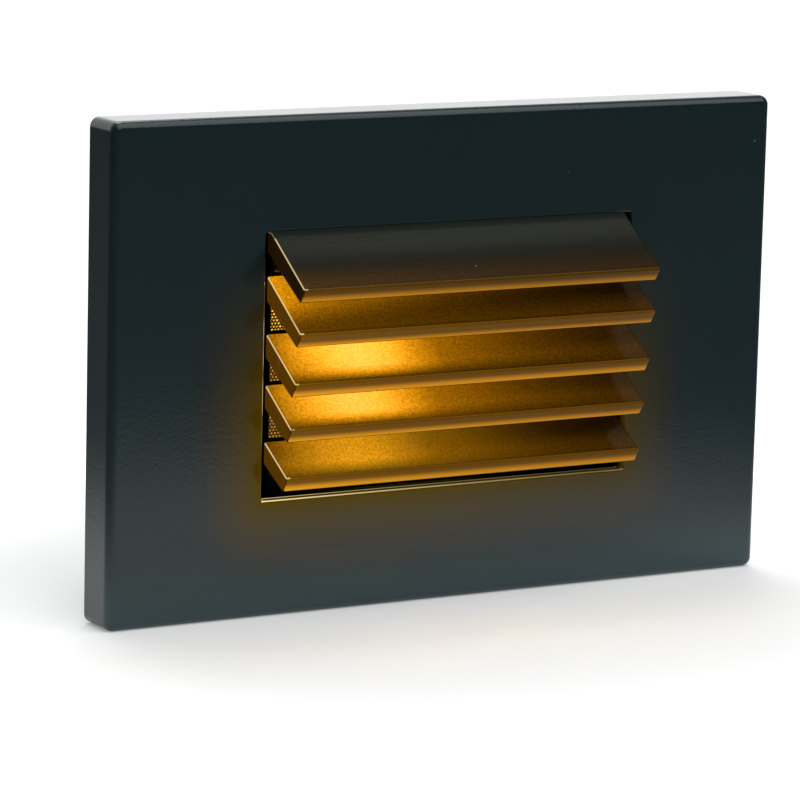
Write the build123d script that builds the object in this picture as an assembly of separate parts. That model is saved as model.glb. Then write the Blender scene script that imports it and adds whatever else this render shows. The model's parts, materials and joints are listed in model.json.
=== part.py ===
from build123d import *
import math
import os

# A horizontal louvred step light for a single-gang wall box, in millimetres.
# Frame: X runs along the width, +Z is up, the front looks towards -Y. The
# origin is midway between the two wall-box screw slots, on the rear face of the
# mounting strap. The wall is one gasket thickness behind that face.

# ---------------------------------------------------------------- faceplate
plate_width = 114.3
plate_height = 75.0
plate_depth = 7.6
plate_corner = 1.5
front_round = 1.3
skin = 2.0
rim = 2.2

# How far the window's edges stand in from the housing's sides.
window_side_inset = 2.1
window_top_inset = 2.875
window_rise = 0.28
window_corner = 0.6
window_round = 0.3

# ------------------------------------------------------------ louvre insert
slat_end_gap = 0.9
slat_draft = 3.5
slat_nose = 2.55
slat_round = 0.4
slat_root_share = 0.4
# Each slat from the top: how far its top front edge stands out of the face, that
# edge's height, and how steeply the slat falls towards it, in degrees.
slats = (
    (9.7, 13.0, 34.5),
    (8.8, 6.3, 34.5),
    (7.6, -1.3, 33.5),
    (6.5, -8.2, 33.5),
    (5.5, -15.65, 31.0),
)
slat_lap = 0.9
slat_sink = 0.4
slat_top_gap = 0.15
frame_thick = 1.4
frame_lip = 0.1
frame_corner = 2.0
frame_margin = 4.9
frame_clip_gap = 0.5
insert_shift = 0.3

# ----------------------------------------------------- wall gasket and strap
wall_gasket_thick = 1.5
wall_gasket_margin = 0.9
wall_gasket_round = 2.0
wall_gasket_slot_margin = 0.5
wall_gasket_side_gap = 0.3
wall_gasket_top_gap = 1.3
strap_thick = 1.2
strap_light_lap = 2.4
strap_end_gap = 1.95
strap_wing_height = 18.0
strap_lap = 2.0
strap_corner = 3.0
strap_side = 1.0
lens_hold = 1.0
box_screw_spacing = 83.34
box_slot_width = 4.2
box_slot_length = 7.5
box_screw_head_room = 3.8

# ------------------------------------------------------------------ housing
box_ear_room = 7.67
housing_height = 46.0
housing_wall = 2.2
housing_round = 3.0
ledge = 2.2
partition = 2.5
corner_boss = 3.0
corner_boss_inset = 4.2
corner_screw_depth = 8.0
corner_screw_room = 0.5

# ------------------------------------------------------------- light engine
lens_thick = 2.2
lens_fit = 0.2
lens_gasket_thick = 0.8
lens_corner_gap = 0.3
seal_band = 1.8
tray_gap = 0.3
tray_depth = 13.0
tray_wall = 1.0
tray_screw_gap = 2.2
tray_pin_gap = 1.6
tray_back_cut = 2.0
led_board_side_gap = 3.1
led_board_top_gap = 3.6
led_board_thick = 1.6
led_board_round = 3.0
led_columns = 3
led_rows = 2
led_pitch = 11.0
led_side = 3.5
led_corner = 0.3
led_base_height = 0.5
led_dome = 1.4
led_dome_root = 0.1
led_hole = 2.8
board_screw_inset = 3.3
pad_thick = 0.5
pad_inset = 1.2
pad_bush_gap = 0.2

# ------------------------------------------------------------------- driver
standoff = 3.0
standoff_radius = 2.2
driver_boss_gap = 0.8
driver_top_gap = 2.8
driver_thick = 1.6
driver_round = 1.5
driver_screw_inset = 3.5
headroom = 0.8
pin_radius = 0.4
pin_pitch = 5.0
pin_edge = 2.0
pin_stick_out = 0.6
bush_wall = 1.6
bush_flange = 1.0
bush_flange_thick = 0.8

transformer_size = (15.0, 10.0, 17.0)
transformer_core = 10.0
transformer_gap = 1.0
transformer_rise = 5.0
transformer_core_round = 0.5
bobbin_side = 1.5
bobbin_drop = 2.0
bobbin_round = 1.5
capacitor_radius = 4.0
capacitor_height = 9.5
capacitor_edge = 0.4
capacitor_gap = 1.0
capacitor_rise = 9.0
film_capacitor_size = (6.0, 8.5, 13.0)
film_capacitor_round = 0.6
film_capacitor_inset = 1.5
film_capacitor_rise = 3.0
rectifier_size = (6.5, 2.6, 8.5)
rectifier_round = 0.3
rectifier_gap = 2.2
rectifier_drop = 3.0
varistor_radius = 3.6
varistor_thick = 3.4
varistor_inset = 8.5
varistor_drop = 12.0
fuse_radius = 3.2
fuse_height = 7.0
fuse_gap = 1.4
fuse_drop = 12.4
chip_size = (5.0, 1.6, 4.0)
chip_round = 0.2
chip_inset = 8.0
chip_drop = 10.5
terminal_size = (8.5, 8.5, 11.0)
terminal_round = 0.4
terminal_inset = 1.25
terminal_rise = 0.0
terminal_entry = 1.4
terminal_entry_height = 3.0
terminal_entry_depth = 5.8
terminal_screw_radius = 1.5
terminal_screw_length = 3.0
terminal_screw_sink = 0.4
terminal_well_room = 0.1
terminal_slot_width = 0.5
terminal_slot_depth = 0.6

# --------------------------------------------------------------- rear cover
cover_gasket_thick = 0.8
cover_gasket_band = 3.0
cover_gasket_corner = 1.0
cover_thick = 2.0
cover_round = 0.6
lead_hole = 5.0
lead_bore = 3.5
lead_place = (-15.0, 0.0)
bushing_flange = 1.6
bushing_flange_thick = 1.5
bushing_flange_round = 0.5
bushing_lip = 0.6
bushing_lip_thick = 1.2
ground_place = (9.0, -12.5)
ground_boss = 3.6
ground_boss_height = 1.5
ground_screw_length = 6.0
ground_washer_radius = 4.2
ground_washer_thick = 0.6
washer_teeth = 12
washer_notch = 0.45

# ---------------------------------------------------------- clips and screws
leaf = 0.5
clip_pad = 1.0
clip_pad_radius = 2.6
clip_height = 32.0
clip_leg_width = 10.0
clip_base_width = 6.0
clip_base_neck = 1.8
clip_leg_stand = 1.2
clip_bow = 3.5
clip_reach = 8.5
clip_tip_lean = 0.1
clip_fit = 0.1
clip_slot_fit = 0.3
clip_slot_play = 1.0
clip_screw_inset = 3.0
small_screw = {"shank_radius": 1.0, "head_radius": 2.0, "head_height": 0.9}
strap_screw = {"shank_radius": 1.25, "head_radius": 2.3, "head_height": 1.1}
cover_screw = {"shank_radius": 1.25, "head_radius": 2.4, "head_height": 1.4}
ground_screw = {"shank_radius": 2.0, "head_radius": 3.6, "head_height": 2.2}
head_edge = 0.25
# The cross recess, as shares of the head's height and radius.
recess_depth = 0.45
recess_length = 1.15
recess_width = 0.28
insert_screw_spacing = 52.0
insert_boss = 1.9
insert_boss_stand = 1.0
screw_floor = 0.6
screw_end_room = 0.2
hole_fit = 0.05
pass_fit = 0.2

# How far a cutting shape runs past a face, and a boss into the wall it stands on.
overcut = 1.0
boss_root = 0.5

# ------------------------------------- planes from the wall plane to the face
wall_y = wall_gasket_thick
face_y = wall_y - plate_depth
skin_back = face_y + skin
frame_back = skin_back + frame_thick
clip_base_front = skin_back + clip_pad
clip_base_back = clip_base_front + leaf
strap_back = 0.0
strap_front = strap_back - strap_thick

# ---------------------------------------- planes from the strap into the wall
lens_back = strap_back + lens_thick
ledge_y = lens_back + lens_gasket_thick
tray_front = lens_back + tray_gap
tray_back = tray_front + tray_depth
led_board_back = tray_back + led_board_thick
partition_front = led_board_back + pad_thick
partition_back = partition_front + partition
driver_front = partition_back + standoff
driver_back = driver_front + driver_thick
housing_back = driver_back + transformer_size[1] + headroom
cover_front = housing_back + cover_gasket_thick
cover_back = cover_front + cover_thick
washer_back = cover_back + ground_washer_thick

# ------------------------------------------ sizes and places shared by pieces
housing_width = box_screw_spacing - 2 * box_ear_room
window_width = housing_width - 2 * window_side_inset
window_height = housing_height - 2 * window_top_inset
slat_width = window_width - 2 * slat_end_gap
light_way_width = slat_width - 2 * strap_light_lap
strap_length = plate_width - 2 * rim - 2 * strap_end_gap
pocket_width = housing_width - 2 * housing_wall
pocket_height = housing_height - 2 * housing_wall
cavity_width = pocket_width - 2 * ledge
cavity_height = pocket_height - 2 * ledge
led_board_width = cavity_width - 2 * led_board_side_gap
led_board_height = cavity_height - 2 * led_board_top_gap
boss_x = housing_width / 2 - corner_boss_inset
boss_z = housing_height / 2 - corner_boss_inset
corners = [(sx * boss_x, sz * boss_z) for sx in (-1, 1) for sz in (-1, 1)]
window_top = window_rise + window_height / 2
insert_screw_z = window_height / 2 + insert_boss_stand + insert_boss
insert_places = [
    (sx * insert_screw_spacing / 2, window_rise + sz * insert_screw_z)
    for sx in (-1, 1)
    for sz in (-1, 1)
]
clip_leg_x = housing_width / 2 + clip_leg_stand
clip_leg_inner = clip_leg_x - leaf / 2
clip_leg_outer = clip_leg_x + leaf / 2
clip_slot_outer = clip_leg_outer + clip_slot_fit
clip_screw_x = clip_leg_x + clip_screw_inset + leaf
clip_screw_z = clip_height / 2 - clip_screw_inset
driver_width = 2 * (boss_x - corner_boss - driver_boss_gap)
driver_height = pocket_height - 2 * driver_top_gap
driver_screws = [
    (sx * (driver_width / 2 - driver_screw_inset), sz * (driver_height / 2 - driver_screw_inset))
    for sx in (-1, 1)
    for sz in (-1, 1)
]
board_screw_x = led_board_width / 2 - board_screw_inset
led_board_screws = [(sx * board_screw_x, 0) for sx in (-1, 1)]
pin_z = -(led_board_height / 2 - pin_edge)
pin_places = [(sx * pin_pitch / 2, pin_z) for sx in (-1, 1)]
tray_back_width = 2 * (board_screw_x - small_screw["head_radius"] - tray_screw_gap)
tray_back_height = 2 * (-pin_z - pin_radius - tray_pin_gap)
led_places = [
    ((column - (led_columns - 1) / 2) * led_pitch, (row - (led_rows - 1) / 2) * led_pitch)
    for column in range(led_columns)
    for row in range(led_rows)
]

# Places on the driver board, each worked out from the nearer side edge or neighbour.
terminal_place = (terminal_inset + (terminal_size[0] - driver_width) / 2, terminal_rise)
varistor_place = (varistor_inset + (varistor_thick - driver_width) / 2, -varistor_drop)
fuse_place = (varistor_place[0] + varistor_thick / 2 + fuse_gap + fuse_radius, -fuse_drop)
film_capacitor_x = (driver_width - film_capacitor_size[0]) / 2 - film_capacitor_inset
film_capacitor_place = (film_capacitor_x, film_capacitor_rise)
transformer_right = film_capacitor_x - film_capacitor_size[0] / 2 - transformer_gap
transformer_left = transformer_right - transformer_size[0]
transformer_place = ((transformer_left + transformer_right) / 2, transformer_rise)
capacitor_place = (transformer_left - capacitor_gap - capacitor_radius, capacitor_rise)
rectifier_place = (transformer_left - rectifier_gap - rectifier_size[0] / 2, -rectifier_drop)
chip_place = ((driver_width - chip_size[0]) / 2 - chip_inset, -chip_drop)


def plate(width, height, front, back, radius=0.0, x=0.0, z=0.0):
    """A flat rounded rectangle facing the viewer, from y = front to y = back."""
    outline = RectangleRounded(width, height, radius) if radius > 0 else Rectangle(width, height)
    return extrude(Plane.XZ.offset(-back) * Pos(x, z) * outline, back - front)


def rod(radius, front, back, x=0.0, z=0.0):
    """A round bar along Y, from y = front to y = back."""
    return extrude(Plane.XZ.offset(-back) * Pos(x, z) * Circle(radius), back - front)


def slot(length, width, front, back, x=0.0, z=0.0):
    """A bar along Y with an oblong section whose overall length runs along X."""
    return extrude(Plane.XZ.offset(-back) * Pos(x, z) * SlotOverall(length, width), back - front)


def rods(radius, front, back, places):
    """Equal round bars along Y at several places."""
    return [rod(radius, front, back, x, z) for x, z in places]


def drill(body, radius, front, back, places):
    """The body with equal round holes along Y that run past both of its faces."""
    for hole in rods(radius, front - overcut, back + overcut, places):
        body -= hole
    return body


def cut_corners(width, height, cut):
    """A rectangle with its corners cut off at 45 degrees."""
    a = width / 2
    b = height / 2
    points = [(a - cut, b), (a, b - cut), (a, cut - b), (a - cut, -b)]
    points += [(-x, z) for x, z in reversed(points)]
    return make_face(Polyline(*points, close=True))


def corner_cut(width, height):
    """How much of a corner goes so that a seal passes inside the corner bosses."""
    clear = corner_boss + lens_corner_gap + seal_band
    return math.sqrt(2) * clear + width / 2 - boss_x + height / 2 - boss_z


def cavity_prism(margin, front, back):
    """The light chamber's outline, grown by margin on every side, from y = front to y = back."""
    cut = corner_cut(cavity_width, cavity_height)
    outline = cut_corners(cavity_width + 2 * margin, cavity_height + 2 * margin, cut)
    return extrude(Plane.XZ.offset(-back) * outline, back - front)


def feed_hole(margin, front, back):
    """The oblong way that the two feed pins take through the partition, grown by margin."""
    width = 2 * (pin_radius + bush_wall) + 2 * margin
    return slot(pin_pitch + width, width, front, back, 0, pin_z)


def screw(x, z, seat, length, kind, way):
    """A cross-recess screw along Y. Its head sits on y = seat, its shank runs way (+1 or -1)."""
    top = seat - way * kind["head_height"]
    tip = seat + way * length
    body = rod(kind["head_radius"], min(top, seat), max(top, seat), x, z)
    rims = body.edges().filter_by(GeomType.CIRCLE).sort_by(Axis.Y)
    body = chamfer(rims[0 if way > 0 else -1], head_edge)
    body += rod(kind["shank_radius"], min(seat, tip), max(seat, tip), x, z)
    floor = top + way * recess_depth * kind["head_height"]
    low = min(top - way, floor)
    high = max(top - way, floor)
    arm = recess_length * kind["head_radius"]
    blade = recess_width * kind["head_radius"]
    return body - plate(arm, blade, low, high, 0, x, z) - plate(blade, arm, low, high, 0, x, z)


def screws(places, seat, length, kind, way):
    """Equal screws at several places."""
    return [screw(x, z, seat, length, kind, way) for x, z in places]


# ------------------------------------------------------------ faceplate body
def make_faceplate():
    body = plate(plate_width, plate_height, face_y, wall_y, plate_corner)
    body = fillet(body.edges().group_by(Axis.Y)[0], front_round)
    hollow = (plate_width - 2 * rim, plate_height - 2 * rim)
    body -= plate(*hollow, skin_back, wall_y + overcut, plate_corner)
    body -= plate(
        window_width, window_height, face_y - overcut, wall_y, window_corner, 0, window_rise
    )
    window_edges = [
        edge
        for edge in body.edges().group_by(Axis.Y)[0]
        if abs(edge.center().X) < window_width / 2 + window_round
        and abs(edge.center().Z - window_rise) < window_height / 2 + window_round
    ]
    body = fillet(window_edges, window_round)
    shank = small_screw["shank_radius"] + hole_fit
    for boss in rods(insert_boss, skin_back - boss_root, frame_back, insert_places):
        body += boss
    for hole in rods(shank, face_y + screw_floor, frame_back, insert_places):
        body -= hole
    pad_places = clip_screw_places(-1) + clip_screw_places(1)
    for pad in rods(clip_pad_radius, skin_back - boss_root, clip_base_front, pad_places):
        body += pad
    for hole in rods(shank, face_y + screw_floor, clip_base_front, pad_places):
        body -= hole
    return body


def slat_profile(reach, height, fall):
    """The slat's section in (y, z), from its nose back into the frame."""
    slope = math.radians(fall)
    under = math.radians(fall - slat_draft)
    root = skin_back + slat_sink
    nose_y = face_y - reach
    low_y = nose_y + slat_nose * math.sin(slope)
    low_z = height - slat_nose * math.cos(slope)
    top_z = height + (root - nose_y) * math.tan(slope)
    ceiling = window_top - slat_top_gap
    rear = [(root, top_z)]
    if top_z > ceiling:
        rear = [(nose_y + (ceiling - height) / math.tan(slope), ceiling), (root, ceiling)]
    root_low = (root, low_z + (root - low_y) * math.tan(under))
    return [(nose_y, height), *rear, root_low, (low_y, low_z)]


def make_slat(reach, height, fall):
    """One louvre. Every edge in front of the frame is rounded, as far as the root's thickness allows."""
    profile = slat_profile(reach, height, fall)
    root_thick = profile[-3][1] - profile[-2][1]
    outline = make_face(Polyline(*profile, close=True))
    body = Pos(insert_shift - slat_width / 2, 0, 0) * extrude(Plane.YZ * outline, slat_width)
    exposed = [edge for edge in body.edges() if edge.center().Y < skin_back - slat_round / 2]
    return fillet(exposed, min(slat_round, slat_root_share * root_thick))


def make_louvre_insert():
    width = 2 * (clip_leg_inner - frame_clip_gap)
    height = window_height + 2 * frame_margin
    opening = (slat_width - 2 * slat_lap, window_height - 2 * frame_lip)
    front = skin_back - overcut
    back = frame_back + overcut
    body = plate(width, height, skin_back, frame_back, frame_corner, 0, window_rise)
    body -= plate(*opening, front, back, window_corner, insert_shift, window_rise)
    body = drill(body, insert_boss + hole_fit, skin_back, frame_back, insert_places)
    for reach, height, fall in slats:
        body += make_slat(reach, height, fall)
    return body


def clip_screw_places(side):
    return [(side * clip_screw_x, sz * clip_screw_z) for sz in (-1, 1)]


def make_clip(side):
    """A spring leaf: a base screwed to the faceplate and a bowed leg that grips the housing's side."""
    base_x = clip_leg_inner + clip_base_width / 2
    notch_x = clip_leg_x + clip_base_neck + clip_base_width / 2
    notch_height = 2 * box_screw_head_room
    body = plate(clip_base_width, clip_height, clip_base_front, clip_base_back, 0, base_x)
    body -= plate(
        clip_base_width, notch_height, clip_base_front - overcut, clip_base_back + overcut, 0, notch_x
    )
    line = [
        (clip_leg_inner, clip_base_front),
        (clip_leg_inner, wall_y),
        (housing_width / 2 + clip_fit, wall_y + clip_bow),
        (clip_leg_inner - clip_tip_lean, wall_y + clip_reach),
    ]
    outline = line + [(x + leaf, y) for x, y in reversed(line)]
    leg_face = Pos(0, 0, -clip_leg_width / 2) * make_face(Polyline(*outline, close=True))
    body += extrude(leg_face, clip_leg_width)
    hole = small_screw["shank_radius"] + pass_fit
    body = drill(body, hole, clip_base_front, clip_base_back, clip_screw_places(1))
    return body if side > 0 else mirror(body, Plane.YZ)


# ------------------------------------------------------- strap and gasket
def cut_box_slots(body, margin, front, back):
    """The body with the two wall-box screw slots through it, grown by margin."""
    length = box_slot_length + 2 * margin
    width = box_slot_width + 2 * margin
    for sx in (-1, 1):
        x = sx * box_screw_spacing / 2
        body -= slot(length, width, front - overcut, back + overcut, x)
    return body


def make_mounting_strap():
    front = strap_front - overcut
    back = strap_back + overcut
    centre_width = 2 * (clip_slot_outer + strap_side)
    centre_height = housing_height + 2 * strap_lap
    body = plate(centre_width, centre_height, strap_front, strap_back, strap_corner)
    body += plate(strap_length, strap_wing_height, strap_front, strap_back, strap_corner)
    light_way_height = pocket_height - 2 * lens_hold
    opening = plate(light_way_width, light_way_height, front, back, window_corner)
    for land in rods(corner_boss + boss_root, front, back, corners):
        opening -= land
    body -= opening
    leg_slot = (clip_slot_outer - housing_width / 2, clip_leg_width + 2 * clip_slot_play)
    for sx in (-1, 1):
        body -= plate(*leg_slot, front, back, 0, sx * (housing_width + leg_slot[0]) / 2)
    body = drill(body, strap_screw["shank_radius"] + pass_fit, strap_front, strap_back, corners)
    return cut_box_slots(body, 0, strap_front, strap_back)


def make_wall_gasket():
    outer_width = plate_width - 2 * rim - 2 * wall_gasket_margin
    outer_height = plate_height - 2 * rim - 2 * wall_gasket_margin
    inner_width = 2 * (clip_slot_outer + wall_gasket_side_gap)
    inner_height = housing_height + 2 * wall_gasket_top_gap
    body = plate(outer_width, outer_height, strap_back, wall_y, wall_gasket_round)
    body -= plate(
        inner_width, inner_height, strap_back - overcut, wall_y + overcut, strap_corner
    )
    return cut_box_slots(body, wall_gasket_slot_margin, strap_back, wall_y)


# ------------------------------------------------------------------ housing
def make_housing():
    outline = plate(housing_width, housing_height, strap_back, housing_back, housing_round)
    body = outline - plate(pocket_width, pocket_height, strap_back - overcut, ledge_y)
    body -= cavity_prism(0.0, ledge_y - overcut, partition_front)
    body -= plate(pocket_width, pocket_height, partition_back, housing_back + overcut)
    for boss in rods(corner_boss, strap_back, housing_back, corners):
        body += boss & outline
    for post in rods(standoff_radius, partition_back - boss_root, driver_front, driver_screws):
        body += post
    shank = strap_screw["shank_radius"] + hole_fit
    depth = corner_screw_depth + corner_screw_room
    for hole in rods(shank, strap_back - overcut, strap_back + depth, corners):
        body -= hole
    for hole in rods(shank, housing_back - depth, housing_back + overcut, corners):
        body -= hole
    small = small_screw["shank_radius"] + hole_fit
    for hole in rods(small, partition_back - boss_root, driver_front + overcut, driver_screws):
        body -= hole
    board_hole_end = partition_back - screw_floor
    for hole in rods(small, partition_front - overcut, board_hole_end, led_board_screws):
        body -= hole
    return body - feed_hole(0.0, partition_front - overcut, partition_back + overcut)


# ------------------------------------------------------------- light engine
def lens_outline(front, back):
    """A rectangle that drops into the housing's mouth, notched round the corner bosses."""
    body = plate(pocket_width - 2 * lens_fit, pocket_height - 2 * lens_fit, front, back)
    return drill(body, corner_boss + lens_corner_gap, front, back, corners)


def make_lens_gasket():
    body = lens_outline(lens_back, ledge_y)
    return body - cavity_prism(lens_fit, lens_back - overcut, ledge_y + overcut)


def tray_shell(inset, back):
    """A tapering prism from the lens back to the light board, its walls drawn in by inset."""
    width = cavity_width - 2 * (tray_gap + inset)
    height = cavity_height - 2 * (tray_gap + inset)
    front_outline = cut_corners(width, height, corner_cut(cavity_width, cavity_height))
    back_outline = cut_corners(
        tray_back_width - 2 * inset, tray_back_height - 2 * inset, tray_back_cut
    )
    front_face = Plane.XZ.offset(-tray_front) * front_outline
    back_face = Plane.XZ.offset(-back) * back_outline
    return loft([front_face, back_face], ruled=True)


def make_reflector_tray():
    floor_front = tray_back - tray_wall
    body = tray_shell(0.0, tray_back) - tray_shell(tray_wall, floor_front)
    return drill(body, led_hole, floor_front, tray_back, led_places)


def make_led_board():
    body = plate(led_board_width, led_board_height, tray_back, led_board_back, led_board_round)
    body = drill(body, small_screw["shank_radius"] + pass_fit, tray_back, led_board_back, led_board_screws)
    return drill(body, pin_radius + hole_fit, tray_back, led_board_back, pin_places)


def make_led(x, z):
    """A surface-mount lamp: a square base with a domed top."""
    base_front = tray_back - led_base_height
    base = plate(led_side, led_side, base_front, tray_back, led_corner, x, z)
    dome = Pos(x, base_front, z) * Sphere(led_dome)
    dome &= plate(led_side, led_side, base_front - led_dome, base_front + led_dome_root, 0, x, z)
    return base + dome


def make_thermal_pad():
    width = led_board_width - 2 * pad_inset
    height = led_board_height - 2 * pad_inset
    hole = small_screw["shank_radius"] + pass_fit
    body = plate(width, height, led_board_back, partition_front, led_board_round)
    body = drill(body, hole, led_board_back, partition_front, led_board_screws)
    return body - feed_hole(
        bush_flange + pad_bush_gap, led_board_back - overcut, partition_front + overcut
    )


def make_feed_bush():
    flange_back = partition_back + bush_flange_thick
    body = feed_hole(-hole_fit, partition_front, partition_back)
    body += feed_hole(bush_flange, partition_back, flange_back)
    return drill(body, pin_radius + hole_fit, partition_front, flange_back, pin_places)


# ------------------------------------------------------------------- driver
def make_driver_board():
    body = plate(driver_width, driver_height, driver_front, driver_back, driver_round)
    body = drill(body, small_screw["shank_radius"] + pass_fit, driver_front, driver_back, driver_screws)
    return drill(body, pin_radius + hole_fit, driver_front, driver_back, pin_places)


def on_board(size, place, radius):
    """A block standing on the driver board: size is (along X, off the board, along Z)."""
    return plate(size[0], size[2], driver_back, driver_back + size[1], radius, *place)


def make_transformer():
    width, height, length = transformer_size
    core = on_board((width, height, transformer_core), transformer_place, transformer_core_round)
    bobbin_size = (width - 2 * bobbin_side, height - bobbin_drop, length)
    return core + on_board(bobbin_size, transformer_place, bobbin_round)


def make_capacitor():
    body = rod(capacitor_radius, driver_back, driver_back + capacitor_height, *capacitor_place)
    rims = body.edges().filter_by(GeomType.CIRCLE).sort_by(Axis.Y)
    return chamfer(rims[-1], capacitor_edge)


def make_varistor():
    x, z = varistor_place
    outline = Pos(driver_back + varistor_radius, z) * Circle(varistor_radius)
    disc = extrude(Plane.YZ * outline, varistor_thick)
    return Pos(x - varistor_thick / 2, 0, 0) * disc


def terminal_ways():
    """The two terminals' places on the board."""
    x, z = terminal_place
    return [(x, z - terminal_size[2] / 4), (x, z + terminal_size[2] / 4)]


def make_terminal_block():
    top = driver_back + terminal_size[1]
    well = terminal_screw_length + terminal_screw_sink + terminal_well_room
    body = on_board(terminal_size, terminal_place, terminal_round)
    entry_y = driver_back + terminal_entry_height
    for x, z in terminal_ways():
        outline = Pos(entry_y, z) * Circle(terminal_entry)
        entry = extrude(Plane.YZ * outline, terminal_entry_depth + overcut)
        body -= Pos(x - terminal_size[0] / 2 - overcut, 0, 0) * entry
        body -= rod(terminal_screw_radius + hole_fit, top - well, top + overcut, x, z)
    return body


def make_terminal_screws():
    top = driver_back + terminal_size[1] - terminal_screw_sink
    slot_size = (2 * terminal_screw_radius, terminal_slot_width)
    made = []
    for x, z in terminal_ways():
        body = rod(terminal_screw_radius, top - terminal_screw_length, top, x, z)
        body -= plate(*slot_size, top - terminal_slot_depth, top + overcut, 0, x, z)
        made.append(body)
    return made


# --------------------------------------------------------------- rear cover
def make_cover_gasket():
    outline = plate(housing_width, housing_height, housing_back, cover_front, housing_round)
    inner_width = housing_width - 2 * cover_gasket_band
    inner_height = housing_height - 2 * cover_gasket_band
    body = outline - plate(
        inner_width, inner_height, housing_back - overcut, cover_front + overcut, cover_gasket_corner
    )
    for land in rods(corner_boss, housing_back, cover_front, corners):
        body += land & outline
    return drill(body, cover_screw["shank_radius"] + pass_fit, housing_back, cover_front, corners)


def make_rear_cover():
    boss_front = cover_front - ground_boss_height
    body = plate(housing_width, housing_height, cover_front, cover_back, housing_round)
    body = fillet(body.edges().group_by(Axis.Y)[-1], cover_round)
    body += rod(ground_boss, boss_front, cover_front + boss_root, *ground_place)
    body = drill(body, ground_screw["shank_radius"] + hole_fit, boss_front, cover_back, [ground_place])
    body = drill(body, lead_hole, cover_front, cover_back, [lead_place])
    return drill(body, cover_screw["shank_radius"] + pass_fit, cover_front, cover_back, corners)


def make_lead_bushing():
    front = cover_front - bushing_lip_thick
    back = cover_back + bushing_flange_thick
    flange = rod(lead_hole + bushing_flange, cover_back, back, *lead_place)
    rims = flange.edges().filter_by(GeomType.CIRCLE).sort_by(Axis.Y)
    body = fillet(rims[-1], bushing_flange_round)
    body += rod(lead_hole - hole_fit, front, cover_back, *lead_place)
    body += rod(lead_hole + bushing_lip, front, cover_front, *lead_place)
    return drill(body, lead_bore, front, back, [lead_place])


def make_ground_washer():
    """A toothed washer: a ring with notches round its rim."""
    body = rod(ground_washer_radius, cover_back, washer_back, *ground_place)
    body = drill(body, ground_screw["shank_radius"] + pass_fit, cover_back, washer_back, [ground_place])
    turns = [2 * math.pi * index / washer_teeth for index in range(washer_teeth)]
    notches = [
        (
            ground_place[0] + ground_washer_radius * math.cos(turn),
            ground_place[1] + ground_washer_radius * math.sin(turn),
        )
        for turn in turns
    ]
    return drill(body, washer_notch, cover_back, washer_back, notches)


def make_parts():
    """Every piece by name; a list holds equal pieces that share one name."""
    clip_places = clip_screw_places(-1) + clip_screw_places(1)
    tip_y = face_y + screw_floor + screw_end_room
    board_screw_length = partition_back - screw_floor - screw_end_room - tray_back
    driver_screw_length = driver_thick + standoff - screw_end_room
    strap_screw_length = strap_thick + corner_screw_depth
    cover_screw_length = cover_thick + cover_gasket_thick + corner_screw_depth
    pin_front = tray_back - pin_stick_out
    pin_back = driver_back + pin_stick_out
    return {
        "faceplate": make_faceplate(),
        "louvre_insert": make_louvre_insert(),
        "insert_screws": screws(insert_places, frame_back, frame_back - tip_y, small_screw, -1),
        "clip_left": make_clip(-1),
        "clip_right": make_clip(1),
        "clip_screws": screws(clip_places, clip_base_back, clip_base_back - tip_y, small_screw, -1),
        "wall_gasket": make_wall_gasket(),
        "mounting_strap": make_mounting_strap(),
        "strap_screws": screws(corners, strap_front, strap_screw_length, strap_screw, 1),
        "housing": make_housing(),
        "lens": lens_outline(strap_back, lens_back),
        "lens_gasket": make_lens_gasket(),
        "reflector_tray": make_reflector_tray(),
        "amber_leds": [make_led(x, z) for x, z in led_places],
        "led_board": make_led_board(),
        "led_board_screws": screws(led_board_screws, tray_back, board_screw_length, small_screw, 1),
        "thermal_pad": make_thermal_pad(),
        "feed_bush": make_feed_bush(),
        "feed_pins": rods(pin_radius, pin_front, pin_back, pin_places),
        "driver_board": make_driver_board(),
        "driver_board_screws": screws(driver_screws, driver_back, driver_screw_length, small_screw, -1),
        "transformer": make_transformer(),
        "smoothing_capacitor": make_capacitor(),
        "film_capacitor": on_board(film_capacitor_size, film_capacitor_place, film_capacitor_round),
        "bridge_rectifier": on_board(rectifier_size, rectifier_place, rectifier_round),
        "varistor": make_varistor(),
        "fuse": rod(fuse_radius, driver_back, driver_back + fuse_height, *fuse_place),
        "driver_chip": on_board(chip_size, chip_place, chip_round),
        "terminal_block": make_terminal_block(),
        "terminal_screws": make_terminal_screws(),
        "cover_gasket": make_cover_gasket(),
        "rear_cover": make_rear_cover(),
        "cover_screws": screws(corners, cover_back, cover_screw_length, cover_screw, -1),
        "lead_bushing": make_lead_bushing(),
        "ground_washer": make_ground_washer(),
        "ground_screw": screw(*ground_place, washer_back, ground_screw_length, ground_screw, -1),
    }


os.makedirs("parts", exist_ok=True)
for name, made in make_parts().items():
    pieces = made if isinstance(made, list) else [made]
    solids = [solid for piece in pieces for solid in piece.solids()]
    export_step(Compound(children=solids) if len(solids) > 1 else solids[0], f"parts/{name}.step")
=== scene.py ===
import json
import math

import bpy
from mathutils import Euler, Matrix, Vector


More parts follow.
